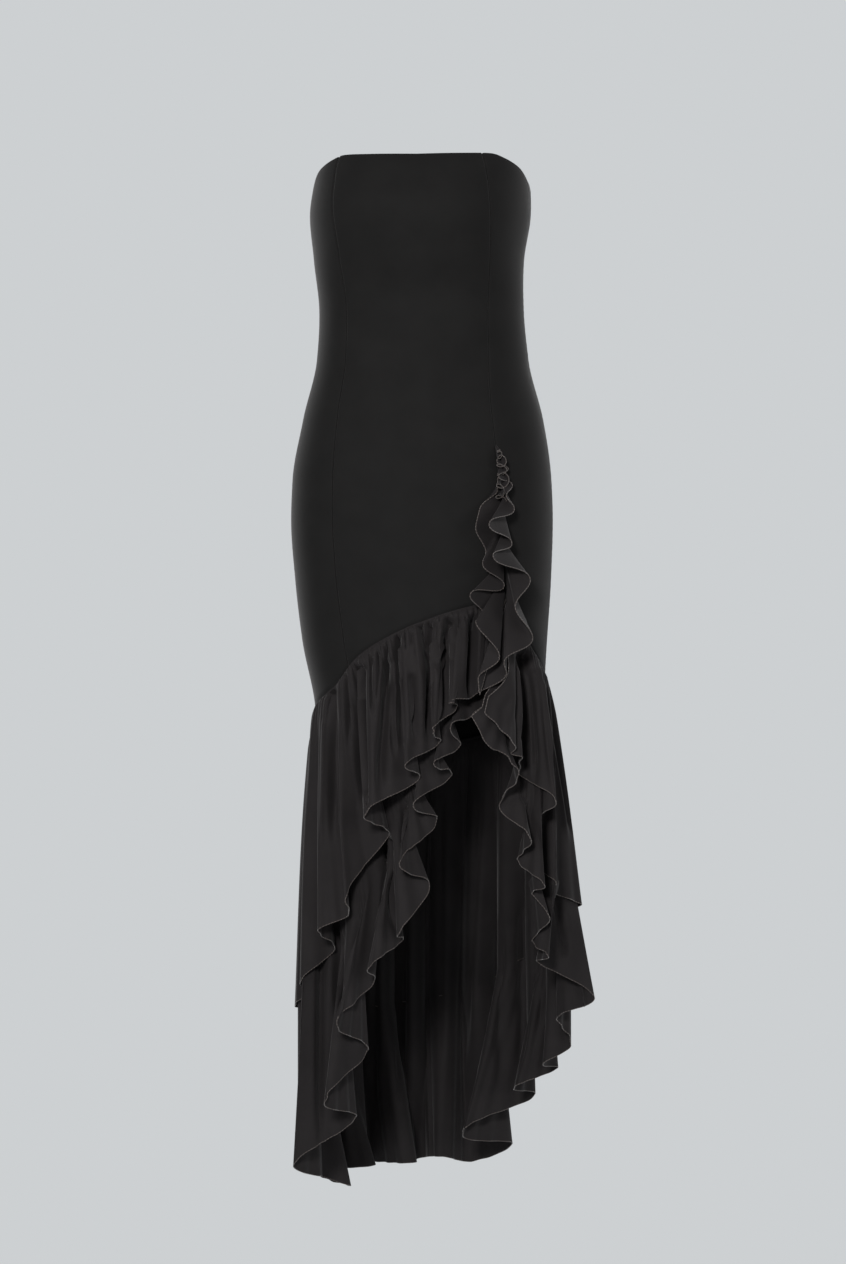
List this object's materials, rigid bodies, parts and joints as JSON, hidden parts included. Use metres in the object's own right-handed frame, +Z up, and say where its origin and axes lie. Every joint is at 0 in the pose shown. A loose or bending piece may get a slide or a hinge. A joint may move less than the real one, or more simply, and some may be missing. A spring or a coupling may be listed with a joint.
{
  "type": "maxi dress",
  "caption": "Strapless maxi dress, filled out as if worn, with a high-low two-tier ruffle skirt and a ruffle cascade down one princess seam.",
  "frame": {"origin": "centre of the top opening, level with the middle of the front top edge, where the bust holds the dress up", "axes": "+Z up, -Y towards the front of the dress, +X towards the wearer's left"},
  "size_m": [0.3859, 0.4131, 1.3182],
  "materials": {
    "sheath_cloth": "black matte crepe",
    "ruffle_cloth": "black matte crepe with a rolled hem"
  },
  "bodies": {
    "root": {"front_panel": "sheath_cloth", "side_front_right": "sheath_cloth", "side_front_left": "sheath_cloth", "side_back_right": "sheath_cloth", "side_back_left": "sheath_cloth", "back_right": "sheath_cloth", "back_left": "sheath_cloth", "upper_ruffle_right_front": "ruffle_cloth", "upper_ruffle_right_back": "ruffle_cloth", "upper_ruffle_left_back": "ruffle_cloth", "upper_ruffle_left_front": "ruffle_cloth", "lower_ruffle_right_front": "ruffle_cloth", "lower_ruffle_right_back": "ruffle_cloth", "lower_ruffle_left_back": "ruffle_cloth", "lower_ruffle_left_front": "ruffle_cloth", "cascade_right": "ruffle_cloth", "cascade_left": "ruffle_cloth"}
  },
  "joints": []
}
